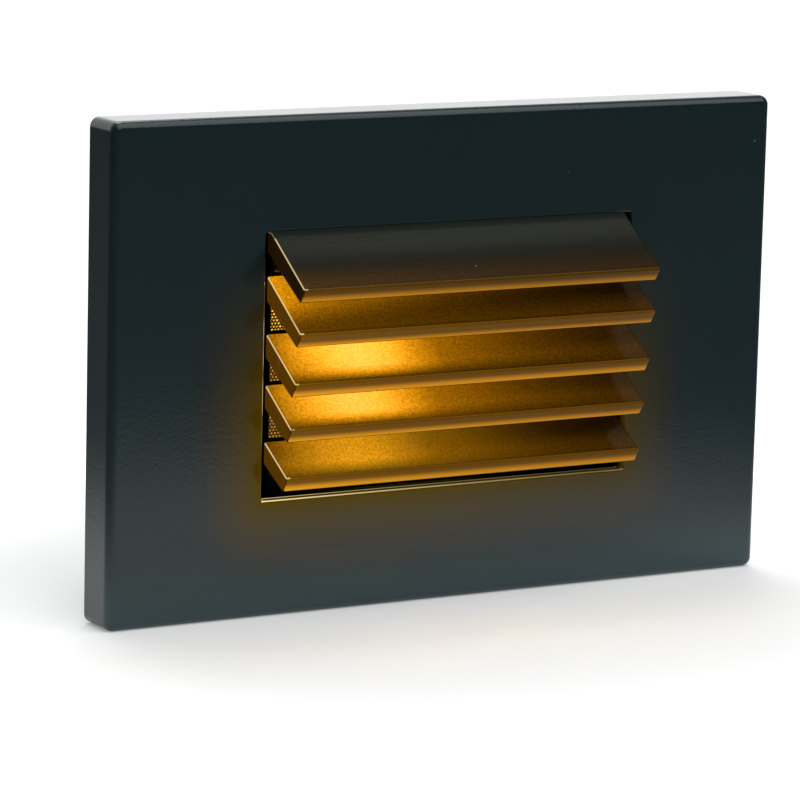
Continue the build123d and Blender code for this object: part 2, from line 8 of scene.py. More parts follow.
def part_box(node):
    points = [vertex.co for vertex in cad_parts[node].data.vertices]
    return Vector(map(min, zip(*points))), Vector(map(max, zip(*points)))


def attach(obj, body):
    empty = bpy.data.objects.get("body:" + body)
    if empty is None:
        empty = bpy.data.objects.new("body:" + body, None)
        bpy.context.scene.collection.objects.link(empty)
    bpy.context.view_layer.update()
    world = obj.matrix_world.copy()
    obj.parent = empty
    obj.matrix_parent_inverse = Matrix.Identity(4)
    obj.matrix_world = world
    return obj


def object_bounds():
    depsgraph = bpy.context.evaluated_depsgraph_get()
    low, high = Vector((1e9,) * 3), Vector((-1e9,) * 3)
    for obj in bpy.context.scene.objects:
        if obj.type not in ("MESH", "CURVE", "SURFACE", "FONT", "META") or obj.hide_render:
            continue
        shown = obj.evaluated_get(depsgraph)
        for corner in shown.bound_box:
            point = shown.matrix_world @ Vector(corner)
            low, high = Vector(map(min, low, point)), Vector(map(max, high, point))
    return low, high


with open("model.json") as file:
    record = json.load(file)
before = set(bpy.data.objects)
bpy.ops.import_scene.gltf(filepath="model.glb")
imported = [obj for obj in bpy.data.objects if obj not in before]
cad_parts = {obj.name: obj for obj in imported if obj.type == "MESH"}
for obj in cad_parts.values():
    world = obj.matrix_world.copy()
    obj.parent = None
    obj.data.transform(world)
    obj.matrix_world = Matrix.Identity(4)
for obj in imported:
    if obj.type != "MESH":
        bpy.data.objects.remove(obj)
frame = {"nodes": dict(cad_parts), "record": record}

# The looks of a louvred step light. Lengths are in metres: X along the width, Z up, the
# front towards -Y, and the origin on the mounting strap's rear face.

MM = 0.001
CAD_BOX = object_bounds()
NODES = frame["nodes"]
SCENE = bpy.context.scene


def mm(*lengths):
    """Turns millimetres into metres."""
    return tuple(length * MM for length in lengths)


# ------------------------------------------------------------------- camera
CAMERA_PLACE = Vector((-342.25, -574.25, 111.58)) * MM
CAMERA_TURN = (79.865, -1.387, -30.180)
CAMERA_LENS = 200.65
CAMERA_NEAR = 0.01
SENSOR = 36.0

# ------------------------------------------------------------------- colours
# Linear red, green, blue. First the coat: plain, then with painted light and shade (a painted floor
# reflection at the foot, painted warm light near the window, amber-lit and shaded copies, flat black
# painted shade), and its dust.
COAT = (0.0080, 0.0240, 0.0280)
COAT_DEEP = (0.0060, 0.0200, 0.0240)
# Painted reflection of the floor: the coat paler at the plate's foot.
FLOOR_REFLECTION_COAT = (0.025, 0.062, 0.070)
# Painted light: the coat made warmer near the window.
SPILL_COAT = (0.0140, 0.0090, 0.0)
# Lit and shaded copies of the louvres' coat: amber-lit, then shaded.
AMBER_LIT_COAT = (0.0085, 0.0052, 0.0006)
SHADED_COAT = (0.0060, 0.0080, 0.0068)
# Flat near-black painted shade, for the window's walls and what lies behind the plate's face.
PAINTED_SHADE_COAT = (0.0006, 0.0006, 0.0005)
DUST = (0.16, 0.18, 0.18)
# What the coat's gloss is tinted by, a painted reflection colour standing for the light it mirrors: the
# plate near its window, the top louvre and the rest.
SPILL_SHEEN = (0.45, 0.42, 0.0)
TOP_SHEEN = (0.70, 0.73, 0.47)
LOUVRE_SHEEN = (1.0, 0.42, 0.02)
# Light that is painted on.
NO_LIGHT = (0.0, 0.0, 0.0)
SPILL = (0.056, 0.032, 0.0)
EDGE_LIGHT = (1.0, 0.76, 0.36)
GLOW = (2.0, 0.76, 0.006)
HOT_GLOW = (1.5, 0.56, 0.17)
NOSE_GLOW = (1.0, 0.41, 0.01)
TUCK_LIGHT = (0.011, 0.014, 0.011)
DOT_LIGHT = (1.0, 0.48, 0.05)
# Not painted: the lamps' own glow and the real amber lamp's colour.
AMBER = (1.0, 0.355, 0.018)
LAMP_LIGHT = (1.0, 0.72, 0.05)
# Metals.
STEEL = (0.47, 0.47, 0.46)
SPRING = (0.30, 0.31, 0.33)
BRASS = (0.62, 0.57, 0.44)
GREEN_ZINC = (0.05, 0.28, 0.11)
BLACKENED = (0.006, 0.006, 0.007)
ZINC_BLUE = (0.44, 0.47, 0.52)
ZINC_YELLOW = (0.52, 0.51, 0.46)
ZINC_SPANGLE = (0.60, 0.61, 0.62)
# Painted shade: flat near-black on the strap inside the window.
ZINC_PAINTED_SHADE = (0.004, 0.004, 0.004)
ALLOY = (0.46, 0.46, 0.455)
ALLOY_DULL = (0.40, 0.40, 0.40)
# Mouldings, glass, boards and foam.
BLACK_MOULDING = (0.022, 0.022, 0.024)
SILICONE = (0.15, 0.15, 0.155)
SLEEVE_BLUE = (0.02, 0.035, 0.10)
FILM_RED = (0.36, 0.04, 0.025)
EPOXY_BLUE = (0.03, 0.10, 0.32)
BLOCK_GREEN = (0.04, 0.25, 0.10)
RESIN = (0.8, 0.36, 0.04)
DOT_GLASS = (0.05, 0.03, 0.01)
# Painted shade: the lens coloured nearly black, a little lighter at its rim.
GLASS_SHADE_MIDDLE = (0.012, 0.009, 0.005)
GLASS_SHADE_RIM = (0.030, 0.028, 0.022)
WHITE_BOARD = ((0.74, 0.74, 0.71), (0.80, 0.79, 0.74))
GREEN_BOARD = ((0.012, 0.11, 0.04), (0.03, 0.20, 0.08))
TRAY_WHITE = ((0.76, 0.75, 0.72), (0.86, 0.85, 0.82))
TAPE_YELLOW = ((0.42, 0.27, 0.03), (0.74, 0.52, 0.08))
FOAM_BLACK = ((0.010, 0.010, 0.011), (0.034, 0.034, 0.036))


# ------------------------------------------------------------ shader writing
EVEN = (1.0, 1.0, 1.0)


class Value:
    """A node's output. Arithmetic on it adds Math nodes."""

    def __init__(self, finish, socket):
        self.finish = finish
        self.socket = socket

    def math(self, operation, *others, clamp=False):
        settings = {"operation": operation, "use_clamp": clamp}
        sockets = {i: item for i, item in enumerate((self, *others))}
        return self.finish.node("ShaderNodeMath", settings, sockets)

    def __add__(self, other):
        return self.math("ADD", other)

    __radd__ = __add__

    def __sub__(self, other):
        return self.math("SUBTRACT", other)

    def __rsub__(self, other):
        return (self * -1.0).math("ADD", other)

    def __mul__(self, other):
        return self.math("MULTIPLY", other)

    __rmul__ = __mul__

    def __truediv__(self, other):
        return self.math("DIVIDE", other)

    def __pow__(self, other):
        return self.math("POWER", other)

    def __abs__(self):
        return self.math("ABSOLUTE")

    def __gt__(self, other):
        return self.math("GREATER_THAN", other)

    def __lt__(self, other):
        return self.math("LESS_THAN", other)

    def at_least(self, other):
        return self.math("MAXIMUM", other)

    def clamped(self):
        return self.math("ADD", 0.0, clamp=True)

    def rising(self, low, high, bottom=0.0, top=1.0):
        """A smooth step from bottom at low to top at high."""
        settings = {"interpolation_type": "SMOOTHSTEP", "clamp": True}
        sockets = {"Value": self, "From Min": low, "From Max": high, "To Min": bottom, "To Max": top}
        return self.finish.node("ShaderNodeMapRange", settings, sockets)

    def fading(self, start, length):
        """1 at start, falling by the factor e over each length beyond it."""
        return ((self - start) / -length).math("EXPONENT")


class Finish:
    """A material being written. Its patterns lie on Object coordinates, in metres."""

    def __init__(self, name, owner=None):
        self.material = owner or bpy.data.materials.new(name)
        self.material.use_nodes = True
        self.tree = self.material.node_tree
        self.tree.nodes.clear()

    def node(self, kind, settings=None, sockets=None, output=0):
        """Adds a node: its settings first, then its sockets by name or number. Returns one output."""
        made = self.tree.nodes.new(kind)
        for key, value in (settings or {}).items():
            setattr(made, key, value)
        for key, value in (sockets or {}).items():
            if isinstance(value, Value):
                self.tree.links.new(value.socket, made.inputs[key])
            else:
                made.inputs[key].default_value = value
        return Value(self, made.outputs[output]) if made.outputs else None

    def place(self, stretch=EVEN):
        """Object coordinates, stretched."""
        raw = self.node("ShaderNodeTexCoord", output="Object")
        if stretch == EVEN:
            return raw
        sockets = {"Vector": raw, "Scale": stretch}
        return self.node("ShaderNodeMapping", {"vector_type": "POINT"}, sockets)

    def axes(self):
        """The three Object coordinates as values."""
        place = self.place()
        return [self.node("ShaderNodeSeparateXYZ", None, {0: place}, axis) for axis in "XYZ"]

    def facing(self, axis, low, high):
        """0 to 1 as the normal's part along an axis goes from low to high."""
        normal = self.node("ShaderNodeTexCoord", output="Normal")
        return self.node("ShaderNodeSeparateXYZ", None, {0: normal}, axis).rising(low, high)

    def noise(self, size, detail=2.0, roughness=0.5, stretch=EVEN, warp=0.0):
        """Soft noise whose features are about size metres across."""
        sockets = {
            "Vector": self.place(stretch=stretch),
            "Scale": 1.0 / size,
            "Detail": detail,
            "Roughness": roughness,
            "Distortion": warp,
        }
        return self.node("ShaderNodeTexNoise", None, sockets)

    def cells(self, size):
        """Cell noise: the distance to the nearest cell's point."""
        sockets = {"Vector": self.place(), "Scale": 1.0 / size}
        return self.node("ShaderNodeTexVoronoi", {"feature": "F1"}, sockets)

    def cell_draw(self, size):
        """A number from 0 to 1 that is drawn for each cell of the same cell noise."""
        sockets = {"Vector": self.place(), "Scale": 1.0 / size}
        tint = self.node("ShaderNodeTexVoronoi", {"feature": "F1"}, sockets, "Color")
        return self.node("ShaderNodeSeparateColor", None, {0: tint})

    def colour(self, factor, low, high):
        """A colour between low and high. Either may be a colour or a link."""
        sockets = {0: factor, 6: self._rgba(low), 7: self._rgba(high)}
        return self.node("ShaderNodeMix", {"data_type": "RGBA"}, sockets, 2)

    def bump(self, height, depth, under=None):
        """A bump of the given depth in metres, on top of the one under it."""
        sockets = {"Height": height, "Distance": depth, "Strength": 1.0}
        if under:
            sockets["Normal"] = under
        return self.node("ShaderNodeBump", None, sockets)

    def _rgba(self, colour):
        return colour if isinstance(colour, Value) else (*colour, 1.0)

    def shader(self, colour, **named):
        """A Principled shader. Names are its sockets' with _ for spaces."""
        sockets = {"Base Color": self._rgba(colour)}
        for key, value in named.items():
            name = key.replace("_", " ")
            is_colour = name.endswith("Color") or name.endswith("Tint")
            sockets[name] = self._rgba(value) if is_colour else value
        return self.node("ShaderNodeBsdfPrincipled", None, sockets)

    def mixed(self, factor, low, high):
        """A shader between two others."""
        return self.node("ShaderNodeMixShader", None, {0: factor, 1: low, 2: high})

    def end(self, shader):
        """Ends the material in a shader."""
        self.node("ShaderNodeOutputMaterial", None, {"Surface": shader})
        return self.material

    def surface(self, colour, **named):
        """Ends the material in one Principled shader."""
        return self.end(self.shader(colour, **named))


# ------------------------------------------------------------------ finishes
# The coat's layers.
PEEL_SIZE = 0.6 * MM
PEEL_DEPTH = 0.016 * MM
GRAIN_SIZE = 0.2 * MM
GRAIN_DEPTH = 0.002 * MM
CLOUD_SIZE = 22.0 * MM
SPECK_GAP = 4.2 * MM
SPECK_SIZES = (0.58, 1.0, 0.0, 0.040)
COAT_ROUGHNESS = 0.155


def coat_layers(finish, deep, plain, relief=1.0):
    """The satin coat's colour, roughness and normal: orange peel, fine grain and a few dust specks."""
    peel = finish.noise(PEEL_SIZE, 2.0, 0.45)
    grain = finish.noise(GRAIN_SIZE, 1.0, 0.5)
    cloud = finish.noise(CLOUD_SIZE, 3.0, 0.6)
    speck = finish.cells(SPECK_GAP) < finish.cell_draw(SPECK_GAP).rising(*SPECK_SIZES)
    base = finish.colour(cloud, deep, plain)
    base = finish.colour(speck * 0.8, base, DUST)
    rough = COAT_ROUGHNESS + cloud * 0.05 + (grain - 0.5) * 0.05 + speck * 0.3
    normal = finish.bump(peel, PEEL_DEPTH * relief)
    normal = finish.bump(grain, GRAIN_DEPTH * relief, under=normal)
    return base, rough, normal


# The faceplate: its window, with the walls round it, and its front face.
WINDOW_HALF = mm(31.9, 20.1)
WINDOW_LIFT = 0.28 * MM
WALL_SLACK = 0.05 * MM
WALL_STARTS = mm(31.0, 19.0)
WALL_BACK = -3.0 * MM
FRONT_FACE = mm(-4.2, -5.6)
# The painted light thrown back on the plate, by height and by side, and the painted floor reflection
# that makes the foot paler.
SPILL_REACH = 13.0 * MM
SPILL_HEIGHTS = mm(20.0, -12.0)
SPILL_SIDES = (34.0 * MM, -10.0 * MM, 0.6, 1.0)
FLOOR_REFLECTION_HEIGHTS = (-25.0 * MM, -38.0 * MM, 0.0, 0.8)
# The two painted highlight lines on the window's lower wall, and the one on its left wall, with its
# painted glint.
LINE_WIDTH = 0.16 * MM
LOWER_WALL = -19.7 * MM
LINE_FADE = 30.0 * MM
FRONT_LINE = -5.75 * MM
REAR_LINE = -4.5 * MM
LEFT_WALL = -31.7 * MM
LEFT_LINE_FRONT = -5.8 * MM
LEFT_LINE_MIDDLE = 1.0 * MM
LEFT_LINE_HALF = 12.0 * MM
GLINT_SIZE = 5.0 * MM
GLINT_SHADES = (0.40, 0.62, 0.15, 1.0)
# The louvres' left ends. The painted light fades to the right from them, on the louvres and on the
# lines.
LOUVRE_LEFT = -30.7 * MM


def faceplate_coat():
    """The coat, with painted light round the window standing for the light that the louvres throw back:
    a warmer base colour, a painted glow and a painted amber sheen.

    Two thin painted highlight lines run along the window's lower edge, and one down its left edge. The
    window's walls are painted black as shade, and the plate's foot is painted paler as a reflection of
    the floor.
    """
    finish = Finish("blue_black_coat")
    base, rough, normal = coat_layers(finish, COAT_DEEP, COAT)
    x, y, z = finish.axes()
    across = (abs(x) - WINDOW_HALF[0]).at_least(0.0)
    down = (abs(z - WINDOW_LIFT) - WINDOW_HALF[1]).at_least(0.0)
    away = (across * across + down * down) ** 0.5
    near = (1.0 - away / SPILL_REACH).at_least(0.0)
    lower = z.rising(*SPILL_HEIGHTS) * x.rising(*SPILL_SIDES)
    front = y.rising(*FRONT_FACE)
    inside = (across < WALL_SLACK) * (down < WALL_SLACK) * (y < WALL_BACK)
    walls = inside * (abs(x) > WALL_STARTS[0]).at_least(abs(z) > WALL_STARTS[1])
    # Painted reflection of the floor: paler towards the plate's foot.
    foot = z.rising(*FLOOR_REFLECTION_HEIGHTS) * front
    base = finish.colour(foot, base, FLOOR_REFLECTION_COAT)
    # Painted light: the coat made warmer near the window.
    base = finish.colour((near * 1.4 * lower * front).clamped(), base, SPILL_COAT)
    # Painted shade: the window's walls flat near-black.
    base = finish.colour(walls, base, PAINTED_SHADE_COAT)
    # Painted highlights: thin bright lines on the window's lower and left walls, with a painted glint.
    sill = (z < LOWER_WALL) * (down < LINE_WIDTH) * (abs(x) < WINDOW_HALF[0])
    lips = (y < FRONT_LINE).at_least((y > REAR_LINE) * 0.7)
    sill_line = sill * x.fading(LOUVRE_LEFT, LINE_FADE) * lips
    jamb = (x < LEFT_WALL) * (across < LINE_WIDTH) * (y < LEFT_LINE_FRONT)
    jamb = jamb * (abs(z - LEFT_LINE_MIDDLE) < LEFT_LINE_HALF)
    glint = finish.noise(GLINT_SIZE, 1.0, 0.5).rising(*GLINT_SHADES)
    # Painted glow near the window, and the painted highlight lines.
    glow = finish.colour(near ** 1.8 * lower * front, NO_LIGHT, SPILL)
    glow = finish.colour(sill_line.at_least(jamb * 0.8 * glint), glow, EDGE_LIGHT)
    shared = {
        "Roughness": rough.at_least(walls * 0.9),
        "Normal": normal,
        "Specular_IOR_Level": 0.5,
        "Emission_Color": glow,
        "Emission_Strength": 1.0,
    }
    # A painted amber reflection tint on the gloss near the window.
    plain = finish.shader(base, **shared)
    painted_warm_sheen = finish.shader(base, Specular_Tint=SPILL_SHEEN, **shared)
    return finish.end(finish.mixed(near ** 4.0 * lower * front, plain, painted_warm_sheen))


# Where a point on the louvres is, counted in louvres down from the top one's upper face.
LOUVRE_SLOPE = 0.66
LOUVRE_TOP = 23.4 * MM
LOUVRE_PITCH = 7.85 * MM
# The noses' fronts, the plane that the louvres start from, and their outer half.
NOSE_FIRST = -15.85 * MM
NOSE_STEP = 1.06 * MM
FACE_PLANE = -4.4 * MM
OUTER_HALF = mm(-8.0, -14.5)
# The louvres that each part of the painted light falls on.
TOP_LOUVRE = (0.9, 0.6)
BELOW_TOP = (0.5, 0.9)
FIRST_SHADE = (0.5, 0.2)
SECOND_START = (0.5, 0.8)
SECOND_END = (1.5, 1.2)
HOT_START = (1.5, 1.8)
HOT_END = (4.3, 2.8, 0.36, 1.0)
END_GLOWS = (0.5, 0.7, 0.012, 0.08)
# How the painted light fades to the right and back from the noses.
SLOW_FADE = 38.0 * MM
QUICK_FADE = 14.0 * MM
NEAR_NOSE = mm(5.0, 0.5)
FAR_BACK = mm(1.0, 7.0)
HOT_PLACE = -17.8 * MM
HOT_REACH = 10.5 * MM
HOT_BACK = mm(0.3, 3.0)
LIP_SHADE = (0.0 * MM, 0.9 * MM, 0.35, 1.0)
NOSE_SHADE = (1.6 * MM, 3.2 * MM, 0.20, 1.0)
# The pebbled coat that breaks the painted light up.
PEBBLE_SIZE = 0.38 * MM
PEBBLE_SHADES = (0.32, 0.68, 0.74, 1.26)
# The painted highlight along each louvre's left end, and at its corner at the nose.
LEFT_EDGE = (LOUVRE_LEFT + 0.24 * MM, LOUVRE_LEFT + 0.16 * MM)
LEFT_CORNER = (LOUVRE_LEFT + 0.8 * MM, LOUVRE_LEFT + 0.5 * MM)
NOSE_CORNER = mm(0.45, 0.30)
# The strip where the top louvre goes into the window, which gets a faint painted light.
TUCK = mm(-6.3, -4.2)
# How far a normal leans, along its axis, on the louvres' tops, noses and left ends.
TOPS = (0.3, 0.7)
NOSES = (-0.6, -0.8)
LEFT_ENDS = (-0.7, -0.9)
# How strong each part of the painted light is. A pair is what it has everywhere, and what the left adds.
TOP_LIGHT = (0.02, 0.10)
NOSE_LIGHT = (0.55, 0.45)
NOSE_SHARE = 0.70
FIRST_TOP_LOSS = 0.62
FIRST_NOSE_LOSS = 0.30
SECOND_BACK_LIGHT = 0.75
HOT_LIGHT = 1.4
HOT_CENTRE_LIGHT = 0.42
HOT_SKIRT_LIGHT = 0.45
HOT_SKIRT_FALL = 0.75
EDGE_SHARE = 0.85


def louvre_coat():
    """The same coat on the louvres, coloured amber by the real amber lamp behind them and by painted
    light.

    Each nose has a painted glow, most on its lower part. The tops have a painted glow at the left, with
    a painted hot spot on the third and fourth and a weaker one on the fifth, and the left ends have
    painted glow and highlights. What lies behind the plate's window is painted black as shade.
    """
    finish = Finish("louvre_coat")
    x, y, z = finish.axes()
    louvre = (LOUVRE_TOP + y * LOUVRE_SLOPE - z) / LOUVRE_PITCH
    behind = y - NOSE_FIRST - louvre * NOSE_STEP
    outer = y.rising(*OUTER_HALF)
    proud = y < FACE_PLANE
    upward = finish.facing("Z", *TOPS)
    forward = finish.facing("Y", *NOSES)
    leftward = finish.facing("X", *LEFT_ENDS)
    first = louvre.rising(*FIRST_SHADE)
    second = louvre.rising(*SECOND_START) * louvre.rising(*SECOND_END)
    # Lit and shaded copies of the coat: amber-lit on the outer half and below the top louvre, shaded on
    # the top louvre's inner half.
    tint = finish.colour(outer.at_least(louvre.rising(*BELOW_TOP)), SHADED_COAT, AMBER_LIT_COAT)
    base, rough, normal = coat_layers(finish, tint, tint, 1.6)

    # Painted light: glow on the tops, a hot spot, and glow on the noses and left ends.
    fade = x.fading(LOUVRE_LEFT, SLOW_FADE)
    quick_fade = x.fading(LOUVRE_LEFT, QUICK_FADE)
    on_top = behind.rising(*NEAR_NOSE) * (TOP_LIGHT[0] + fade * TOP_LIGHT[1])
    on_top = on_top * (1.0 - first * FIRST_TOP_LOSS)
    on_top = on_top + behind.rising(*FAR_BACK) * quick_fade * second * SECOND_BACK_LIGHT
    across = (x - HOT_PLACE) / HOT_REACH
    skirt = (abs(across) * -HOT_SKIRT_FALL).math("EXPONENT") * HOT_SKIRT_LIGHT
    hot = (across * across * -1.0).math("EXPONENT").at_least(skirt)
    hot = hot * behind.rising(*HOT_BACK) * louvre.rising(*HOT_START) * louvre.rising(*HOT_END)
    pebble = finish.noise(PEBBLE_SIZE, 2.0, 0.6).rising(*PEBBLE_SHADES)
    on_top = (on_top + hot * HOT_LIGHT) * pebble * behind.rising(*LIP_SHADE)
    across_nose = (louvre + 0.10).math("FRACT") * LOUVRE_PITCH
    on_nose = (NOSE_LIGHT[0] + fade * NOSE_LIGHT[1]) * across_nose.rising(*NOSE_SHADE)
    on_nose = on_nose * (NOSE_SHARE - first * FIRST_NOSE_LOSS)
    on_end = louvre.rising(*END_GLOWS)

    glow = (on_top * 0.5).clamped() * upward
    glow = glow.at_least(on_end * 0.5 * leftward) * proud
    glow = finish.colour(glow, NO_LIGHT, GLOW)
    glow = finish.colour(hot ** 4.0 * HOT_CENTRE_LIGHT * upward * proud, glow, HOT_GLOW)
    glow = finish.colour(on_nose * forward * proud, glow, NOSE_GLOW)
    # Painted highlights along the left ends and round the nose corners.
    edge = x.rising(*LEFT_EDGE) * upward * proud
    corner = behind.rising(*NOSE_CORNER) * x.rising(*LEFT_CORNER)
    glow = finish.colour(edge.at_least(corner * upward) * EDGE_SHARE, glow, EDGE_LIGHT)
    # A faint painted light where the top louvre goes into the window.
    tuck = first * upward * (y > TUCK[0]) * (y < TUCK[1])
    glow = finish.colour(tuck, glow, TUCK_LIGHT)

    shared = {
        "Roughness": rough,
        "Normal": normal,
        "Emission_Color": glow,
        "Emission_Strength": 1.0,
    }
    # The gloss in lit and shaded copies: a cool painted reflection tint on the top louvre's upper face,
    # an amber one elsewhere.
    cool_top = finish.shader(base, Specular_IOR_Level=0.34, Specular_Tint=TOP_SHEEN, **shared)
    amber_lit = finish.shader(base, Specular_IOR_Level=0.16, Specular_Tint=LOUVRE_SHEEN, **shared)
    # Painted shade: flat near-black behind the plate's face.
    painted_shade = finish.shader(PAINTED_SHADE_COAT, Roughness=rough + 0.7, Specular_IOR_Level=0.0)
    top_one = louvre.rising(*TOP_LOUVRE) * upward * outer.rising(0.0, 1.0, 1.0, 0.4)
    lit = finish.mixed(top_one, amber_lit, cool_top)
    return finish.end(finish.mixed(y > FACE_PLANE, lit, painted_shade))


def brushed(name, colour, along, rough, depth=0.004 * MM):
    """Rolled or brushed metal, with a grain along one axis, or an even one."""
    finish = Finish(name)
    grain = finish.noise(3.0 * MM, 3.0, 0.65, stretch=along)
    cloud = finish.noise(9.0 * MM, 2.0, 0.5)
    shade = finish.colour(grain * 0.6 + cloud * 0.4, tuple(c * 0.78 for c in colour), colour)
    normal = finish.bump(grain, depth)
    return finish.surface(
        shade, Metallic=1.0, Roughness=rough - 0.06 + grain * 0.16 + cloud * 0.06, Normal=normal
    )


# Where the painted shade on the strap ends.
STRAP_DARK_X = mm(30.8, 31.0)
STRAP_DARK_Z = mm(21.2, 21.4)


def zinc_plate():
    """Bright zinc with its spangled, faintly blue-yellow cast, painted flat near-black as shade round
    the light's way out.
    """
    finish = Finish("zinc_plate")
    spangle = finish.cell_draw(3.0 * MM)
    film = finish.noise(11.0 * MM, 2.0, 0.5)
    scratch = finish.noise(1.6 * MM, 3.0, 0.7, stretch=(0.05, 1.0, 1.0))
    shade = finish.colour(film.rising(0.35, 0.65), ZINC_BLUE, ZINC_YELLOW)
    shade = finish.colour(spangle * 0.25, shade, ZINC_SPANGLE)
    normal = finish.bump(scratch, 0.003 * MM)
    x, _, z = finish.axes()
    # Painted shade: the strap flat near-black round the light's way out, bare zinc beyond.
    bare = abs(x).rising(*STRAP_DARK_X).at_least(abs(z).rising(*STRAP_DARK_Z))
    rough = 0.30 + spangle * 0.10 + scratch * 0.08
    return finish.surface(
        finish.colour(bare, ZINC_PAINTED_SHADE, shade),
        Metallic=bare, Roughness=rough + (1.0 - bare) * 0.45, Normal=normal,
    )


def cast_alloy():
    """As-cast aluminium: a matte, pebbled skin with faint flow marks."""
    finish = Finish("cast_alloy")
    pebble = finish.noise(0.5 * MM, 3.0, 0.6)
    flow = finish.noise(16.0 * MM, 2.0, 0.5, warp=0.4)
    shade = finish.colour(flow.rising(0.3, 0.7) * 0.6 + pebble * 0.4, ALLOY_DULL, ALLOY)
    normal = finish.bump(pebble, 0.05 * MM)
    return finish.surface(
        shade, Metallic=1.0, Roughness=0.48 + pebble * 0.14 + flow * 0.04, Normal=normal
    )


def foam():
    """Closed-cell foam: small round cells, fully matte."""
    finish = Finish("black_foam")
    cell = finish.cells(0.45 * MM)
    cloud = finish.noise(6.0 * MM)
    shade = finish.colour(cell.rising(0.1, 0.7) * 0.7 + cloud * 0.3, *FOAM_BLACK)
    normal = finish.bump(cell, 0.08 * MM)
    return finish.surface(shade, Roughness=0.92, Normal=normal, Specular_IOR_Level=0.25)


def rubber(name, colour, rough):
    """Moulded rubber with a dusty bloom."""
    finish = Finish(name)
    bloom = finish.noise(5.0 * MM, 3.0, 0.6)
    grain = finish.noise(0.3 * MM, 2.0, 0.5)
    dusty = tuple(c + 0.03 for c in colour)
    shade = finish.colour(bloom.rising(0.4, 0.8) * 0.6, colour, dusty)
    normal = finish.bump(grain, 0.01 * MM)
    return finish.surface(shade, Roughness=rough + bloom * 0.15, Normal=normal)


def plastic(name, colour, rough, texture=0.35 * MM, depth=0.008 * MM):
    """Moulded plastic with a spark-eroded texture."""
    finish = Finish(name)
    spark = finish.noise(texture, 2.0, 0.55)
    cloud = finish.noise(7.0 * MM)
    shade = finish.colour(cloud, tuple(c * 0.88 for c in colour), colour)
    normal = finish.bump(spark, depth)
    return finish.surface(shade, Roughness=rough + (spark - 0.5) * 0.14, Normal=normal)


def circuit_board(name, mask, copper):
    """Solder mask over copper tracks, which show as a slightly raised lighter pattern."""
    finish = Finish(name)
    edge = finish.node(
        "ShaderNodeTexVoronoi",
        {"feature": "DISTANCE_TO_EDGE", "distance": "EUCLIDEAN"},
        {"Vector": finish.place(), "Scale": 1.0 / (4.0 * MM), "Randomness": 0.35},
    )
    track = 1.0 - edge.rising(0.08, 0.12)
    weave = finish.noise(0.4 * MM, 2.0, 0.5)
    shade = finish.colour(track, mask, copper)
    normal = finish.bump(track, 0.035 * MM)
    return finish.surface(shade, Roughness=0.34 + weave * 0.12, Normal=normal, Coat_Weight=0.3)


def wound_tape():
    """Yellow winding tape, lapped in turns across the transformer."""
    finish = Finish("winding_tape")
    _, _, z = finish.axes()
    lap = (z * (1.0 / (2.2 * MM))).math("FRACT")
    edge = lap.rising(0.0, 0.12)
    sheen = finish.noise(2.0 * MM, 2.0, 0.5, stretch=(0.2, 1.0, 1.0))
    shade = finish.colour(edge * 0.6 + sheen * 0.4, *TAPE_YELLOW)
    normal = finish.bump(edge, 0.05 * MM)
    return finish.surface(shade, Roughness=0.32 + sheen * 0.2, Normal=normal)


GLASS_RIM_X = mm(27.0, 31.5)
GLASS_RIM_Z = mm(17.0, 20.5)


def clear_lens():
    """Patterned glass with a dotted back, painted nearly black and mostly opaque as shade, so it hides
    the chamber and looks dark where no dot shows.
    """
    finish = Finish("clear_glass")
    wave = finish.noise(6.0 * MM, 2.0, 0.5)
    x, _, z = finish.axes()
    rim = abs(x).rising(*GLASS_RIM_X).at_least(abs(z).rising(*GLASS_RIM_Z))
    normal = finish.bump(wave, 0.02 * MM)
    return finish.surface(
        finish.colour(rim, GLASS_SHADE_MIDDLE, GLASS_SHADE_RIM),
        Roughness=0.10 + wave * 0.04,
        Alpha=0.60 + rim * 0.15,
        Normal=normal,
    )


def lamp_resin():
    """The lamps' lit resin, brighter where it is thick."""
    finish = Finish("amber_resin")
    depth = finish.noise(1.2 * MM, 2.0, 0.5)
    light = finish.colour(depth.rising(0.3, 0.7), tuple(c * 0.75 for c in AMBER), AMBER)
    return finish.surface(
        RESIN, Roughness=0.3 + depth * 0.1, Emission_Color=light, Emission_Strength=0.5
    )


# Where the dots' painted glow starts, ends and brightens.
DOTS_FOOT = mm(-15.0, -12.0)
DOTS_TOP = mm(9.5, 8.0)
DOTS_BRIGHTEN = (-4.0 * MM, 3.0 * MM, 0.35, 1.0)


def dot_glow():
    """The lens's dots, with a painted glow standing for the lamps' light, varying a little across them;
    the end rows get none and stay dark.
    """
    finish = Finish("lens_dot_glow")
    _, _, z = finish.axes()
    tone = finish.noise(0.8 * MM, 1.0, 0.5).rising(0.30, 0.70, 0.35, 1.0)
    shown = z.rising(*DOTS_FOOT) * z.rising(*DOTS_TOP) * z.rising(*DOTS_BRIGHTEN)
    light = finish.colour(tone * shown, NO_LIGHT, DOT_LIGHT)
    return finish.surface(DOT_GLASS, Roughness=0.25, Emission_Color=light, Emission_Strength=6.0)


def reflector_white():
    """Gloss white moulding, faintly ribbed by its tool."""
    finish = Finish("reflector_white")
    rib = finish.noise(1.0 * MM, 2.0, 0.5, stretch=(1.0, 0.2, 1.0))
    shade = finish.colour(rib, *TRAY_WHITE)
    return finish.surface(shade, Roughness=0.22 + rib * 0.1, Normal=finish.bump(rib, 0.01 * MM))


SCREW_GRAIN = 0.006 * MM
SMOOTH_SKIN = 1.2 * MM

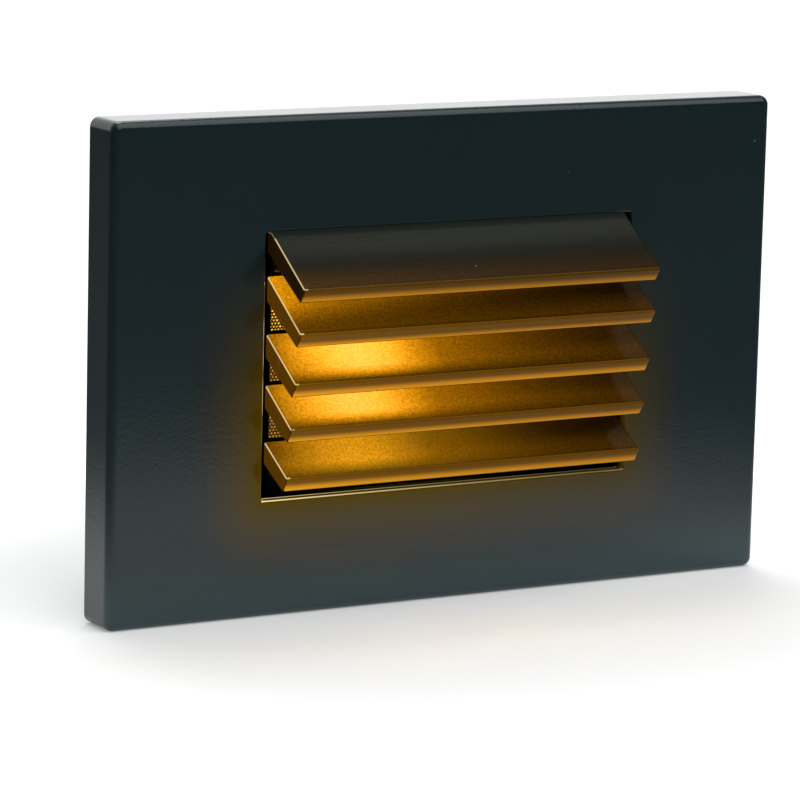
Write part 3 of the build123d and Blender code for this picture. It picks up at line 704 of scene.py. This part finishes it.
FINISHES = {
    "black_coat": faceplate_coat(),
    "stainless": brushed("screw_steel", STEEL, EVEN, 0.30, SCREW_GRAIN),
    "spring_steel": brushed("spring_steel", SPRING, (30.0, 1.0, 30.0), 0.28),
    "black_foam": foam(),
    "zinc_steel": zinc_plate(),
    "cast_alloy": cast_alloy(),
    "clear_glass": clear_lens(),
    "grey_rubber": rubber("grey_silicone", SILICONE, 0.5),
    "white_reflector": reflector_white(),
    "amber_resin": lamp_resin(),
    "white_board": circuit_board("lamp_board", *WHITE_BOARD),
    "black_plastic": plastic("black_plastic", BLACK_MOULDING, 0.45),
    "tinned_brass": brushed("tinned_brass", BRASS, (1.0, 0.1, 1.0), 0.26),
    "green_board": circuit_board("driver_board", *GREEN_BOARD),
    "yellow_tape": wound_tape(),
    "capacitor_sleeve": plastic("capacitor_sleeve", SLEEVE_BLUE, 0.25, SMOOTH_SKIN, 0.004 * MM),
    "red_film": plastic("red_film", FILM_RED, 0.22, 1.6 * MM, 0.02 * MM),
    "blue_epoxy": plastic("blue_epoxy", EPOXY_BLUE, 0.24, SMOOTH_SKIN, 0.02 * MM),
    "green_plastic": plastic("green_plastic", BLOCK_GREEN, 0.42),
    "black_rubber": rubber("black_rubber", BLACK_MOULDING, 0.62),
    "green_screw": brushed("green_zinc", GREEN_ZINC, EVEN, 0.30, SCREW_GRAIN),
}
# The two pieces whose finish isn't their slot's.
OWN_FINISHES = {
    "louvre_insert": louvre_coat(),
    "strap_screws": brushed("black_screws", BLACKENED, EVEN, 0.55, SCREW_GRAIN),
}
DOT_FINISH = dot_glow()


def dress_nodes():
    """Gives every CAD piece the finish of its slot, or its own."""
    for entry in frame["record"]["subparts"]:
        name = entry["node"]
        finish = OWN_FINISHES.get(name) or FINISHES[entry["material_slot"]]
        mesh = NODES[name].data
        mesh.materials.clear()
        mesh.materials.append(finish)


dress_nodes()


# ---------------------------------------------------------------- lens dots
DOT_PITCH = 0.55 * MM
DOT_RADIUS = 0.14 * MM
DOT_DEPTH = 0.11 * MM
DOT_MARGIN = 2.2 * MM
DOT_SIDES = 6
DOT_TIP_SHARE = 0.35


def dot_tree():
    """Small cones on two crossed grids, which make a close triangular pattern."""
    tree = bpy.data.node_groups.new("lens_dots", "GeometryNodeTree")
    for name in ("Width", "Height", "Pitch", "Dot Radius", "Dot Depth"):
        tree.interface.new_socket(name=name, in_out="INPUT", socket_type="NodeSocketFloat")
    tree.interface.new_socket(name="Geometry", in_out="OUTPUT", socket_type="NodeSocketGeometry")
    given = tree.nodes.new("NodeGroupInput")

    def add(kind, settings=None, sockets=None):
        made = tree.nodes.new(kind)
        for key, value in (settings or {}).items():
            setattr(made, key, value)
        for key, value in (sockets or {}).items():
            if isinstance(value, bpy.types.NodeSocket):
                tree.links.new(value, made.inputs[key])
            else:
                made.inputs[key].default_value = value
        return made

    def maths(operation, left, right=0.0):
        return add("ShaderNodeMath", {"operation": operation}, {0: left, 1: right}).outputs[0]

    def how_many(length, gap):
        return maths("ADD", maths("FLOOR", maths("DIVIDE", length, gap)), 1.0)

    pitch = given.outputs["Pitch"]
    row_gap = maths("MULTIPLY", pitch, math.sqrt(3.0))
    columns = how_many(given.outputs["Width"], pitch)
    rows = how_many(given.outputs["Height"], row_gap)
    grid = add("GeometryNodeMeshGrid", None, {
        "Size X": maths("MULTIPLY", maths("SUBTRACT", columns, 1.0), pitch),
        "Size Y": maths("MULTIPLY", maths("SUBTRACT", rows, 1.0), row_gap),
        "Vertices X": columns,
        "Vertices Y": rows,
    })
    shift = add("ShaderNodeCombineXYZ", None, {
        "X": maths("MULTIPLY", pitch, 0.5),
        "Y": maths("MULTIPLY", row_gap, 0.5),
    })
    between = add("GeometryNodeTransform", None, {
        "Geometry": grid.outputs["Mesh"], "Translation": shift.outputs[0],
    })
    both = add("GeometryNodeJoinGeometry")
    tree.links.new(grid.outputs["Mesh"], both.inputs[0])
    tree.links.new(between.outputs[0], both.inputs[0])
    cone = add("GeometryNodeMeshCone", {"fill_type": "NGON"}, {
        "Vertices": DOT_SIDES,
        "Radius Top": maths("MULTIPLY", given.outputs["Dot Radius"], DOT_TIP_SHARE),
        "Radius Bottom": given.outputs["Dot Radius"],
        "Depth": given.outputs["Dot Depth"],
    })
    dots = add("GeometryNodeInstanceOnPoints", None, {
        "Points": both.outputs[0], "Instance": cone.outputs["Mesh"],
    })
    real = add("GeometryNodeRealizeInstances", None, {0: dots.outputs[0]})
    painted = add("GeometryNodeSetMaterial", None, {"Geometry": real.outputs[0], "Material": DOT_FINISH})
    end = tree.nodes.new("NodeGroupOutput")
    tree.links.new(painted.outputs[0], end.inputs[0])
    return tree


def lay_lens_dots():
    """The dots moulded on the lens's inner face, over the part that the tray leaves open."""
    low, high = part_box("lens")
    maker = bpy.data.objects.new("dot_maker", bpy.data.meshes.new("dot_maker"))
    SCENE.collection.objects.link(maker)
    modifier = maker.modifiers.new("lens_dots", "NODES")
    modifier.node_group = dot_tree()
    sizes = {
        "Width": high.x - low.x - 2.0 * DOT_MARGIN,
        "Height": high.z - low.z - 2.0 * DOT_MARGIN,
        "Pitch": DOT_PITCH,
        "Dot Radius": DOT_RADIUS,
        "Dot Depth": DOT_DEPTH,
    }
    for item in modifier.node_group.interface.items_tree:
        if item.item_type == "SOCKET" and item.in_out == "INPUT":
            modifier[item.identifier] = sizes[item.name]
    bpy.context.view_layer.update()
    ready = maker.evaluated_get(bpy.context.evaluated_depsgraph_get())
    mesh = bpy.data.meshes.new_from_object(ready)
    bpy.data.objects.remove(maker)
    middle = (low + high) / 2
    foot = Vector((middle.x, high.y, middle.z))
    mesh.transform(Matrix.Translation(foot) @ Matrix.Rotation(math.radians(-90.0), 4, "X"))
    dots = bpy.data.objects.new("lens_dots", mesh)
    SCENE.collection.objects.link(dots)
    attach(dots, "fixture")


lay_lens_dots()


# --------------------------------------------------------------------- stage
def stage_mesh(name, points, faces, material):
    """A plain mesh that isn't part of the object."""
    mesh = bpy.data.meshes.new(name)
    mesh.from_pydata(points, [], faces)
    mesh.materials.append(material)
    made = bpy.data.objects.new(name, mesh)
    SCENE.collection.objects.link(made)


FLOOR_REACH = 6.0
SHEET_EDGE = mm(75.0, 190.0)
LIFT_EDGE = (SHEET_EDGE[0] * 0.8, SHEET_EDGE[1] * 0.8)
SHEET_SHADE = 0.88
BENCH_SHADE = 0.17
SHEET_LIFT = 0.24
BENCH_LIFT = 1.0
WHITE = (1.0, 1.0, 1.0)


def floor_finish():
    """A pale matte sheet round the object on a darker bench, so the coat mirrors a dark room.

    Seen straight, all of it is lifted to white and keeps the object's shadow.
    """
    finish = Finish("studio_floor")
    x, y, _ = finish.axes()
    off = (x * x + y * y) ** 0.5
    beyond = off.rising(*SHEET_EDGE)
    shade = finish.colour(beyond, (SHEET_SHADE,) * 3, (BENCH_SHADE,) * 3)
    matte = finish.node("ShaderNodeBsdfDiffuse", None, {"Color": shade})
    straight = finish.node("ShaderNodeLightPath", output="Is Camera Ray")
    through = finish.node("ShaderNodeLightPath", output="Is Transmission Ray")
    mirrored = finish.node("ShaderNodeLightPath", output="Is Glossy Ray")
    seen = straight.at_least(through)
    outer = off.rising(*LIFT_EDGE)
    lift = outer * BENCH_LIFT * seen + (1.0 - outer) * SHEET_LIFT * seen.at_least(mirrored)
    white = finish.node("ShaderNodeEmission", None, {"Color": (*WHITE, 1.0), "Strength": lift})
    both = finish.node("ShaderNodeAddShader", None, {0: matte, 1: white})
    finish.node("ShaderNodeOutputMaterial", None, {"Surface": both})
    return finish.material


def lay_floor():
    """The floor, at the object's lowest point."""
    low = CAD_BOX[0].z
    ways = ((-1, -1), (1, -1), (1, 1), (-1, 1))
    corners = [(right * FLOOR_REACH, back * FLOOR_REACH, low) for right, back in ways]
    stage_mesh("floor", corners, [(0, 1, 2, 3)], floor_finish())


ROOM_DARK = (0.080, 0.092, 0.100)
# How far a direction leans to the rear or up where the backdrop and the light above begin and end.
REARWARD = (0.35, 0.8)
OVERHEAD = (0.35, 0.95, 0.0, 0.2)


def light_world():
    """White to the camera and through glass.

    Its light comes from the white backdrop behind the object and from above. The room in front of
    the object is dim.
    """
    world = bpy.data.worlds.new("studio")
    SCENE.world = world
    finish = Finish("studio", world)
    way = finish.node("ShaderNodeTexCoord", output="Generated")
    behind = finish.node("ShaderNodeSeparateXYZ", None, {0: way}, "Y").rising(*REARWARD)
    above = finish.node("ShaderNodeSeparateXYZ", None, {0: way}, "Z").rising(*OVERHEAD)
    shade = finish.colour(behind.at_least(above), ROOM_DARK, WHITE)
    straight = finish.node("ShaderNodeLightPath", output="Is Camera Ray")
    through = finish.node("ShaderNodeLightPath", output="Is Transmission Ray")
    mirrored = finish.node("ShaderNodeLightPath", output="Is Glossy Ray") * behind
    seen = straight.at_least(through).at_least(mirrored)
    final = finish.colour(seen, shade, WHITE)
    light = finish.node("ShaderNodeBackground", None, {"Color": final, "Strength": 1.0})
    finish.node("ShaderNodeOutputWorld", None, {"Surface": light})


def area_light(name, place, target, size, power, colour=WHITE):
    """A rectangular lamp of size (width, height) in metres that looks at target."""
    lamp = bpy.data.lights.new(name, "AREA")
    lamp.shape = "RECTANGLE"
    lamp.size, lamp.size_y = size
    lamp.energy = power
    lamp.color = colour
    made = bpy.data.objects.new(name, lamp)
    made.location = place
    made.rotation_euler = (Vector(target) - Vector(place)).to_track_quat("-Z", "Y").to_euler()
    made.visible_camera = False
    SCENE.collection.objects.link(made)
    return made


# Each softbox's place, the point it looks at, its size and its power.
SOFTBOXES = {
    "top_softbox": ((0.10, 0.34, 0.72), (0.0, 0.0, 0.0), (0.40, 0.45), 2.4),
    "front_softbox": ((0.12, -0.40, 0.66), (0.0, 0.0, 0.0), (1.0, 0.9), 4.2),
    "rear_softbox": ((0.58, 1.0, 0.34), (0.0, 0.0, 0.03), (1.0, 0.5), 0.9),
}


def light_studio():
    """The soft white lights."""
    for name, (place, target, size, power) in SOFTBOXES.items():
        area_light(name, place, target, size, power)


LAMPS_LEFT = 5.0 * MM
LAMPS_GAP = 0.3 * MM
LAMPS_SHARE = (0.85, 0.75)
LAMPS_POWER = 10.0
LAMPS_SPREAD = 100.0


def light_lamps():
    """The lit lamps: one amber light over the whole group, which reaches the louvres only."""
    low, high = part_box("amber_leds")
    middle = (low + high) / 2
    front = Vector((middle.x - LAMPS_LEFT, low.y - LAMPS_GAP, middle.z))
    ahead = front - Vector((0.0, 1.0, 0.0))
    size = ((high.x - low.x) * LAMPS_SHARE[0], (high.z - low.z) * LAMPS_SHARE[1])
    lamp = area_light("amber_lamps", front, ahead, size, LAMPS_POWER, LAMP_LIGHT)
    lamp.data.spread = math.radians(LAMPS_SPREAD)
    lit = bpy.data.collections.new("lit_by_lamps")
    lit.objects.link(NODES["louvre_insert"])
    lamp.light_linking.receiver_collection = lit


def place_camera():
    """The camera at the photograph's view."""
    data = bpy.data.cameras.new("camera")
    data.lens = CAMERA_LENS
    data.sensor_width = SENSOR
    data.clip_start = CAMERA_NEAR
    made = bpy.data.objects.new("camera", data)
    made.location = CAMERA_PLACE
    made.rotation_euler = Euler([math.radians(turn) for turn in CAMERA_TURN])
    SCENE.collection.objects.link(made)
    SCENE.camera = made


lay_floor()
light_world()
light_studio()
light_lamps()
place_camera()
SCENE.view_settings.view_transform = "Standard"
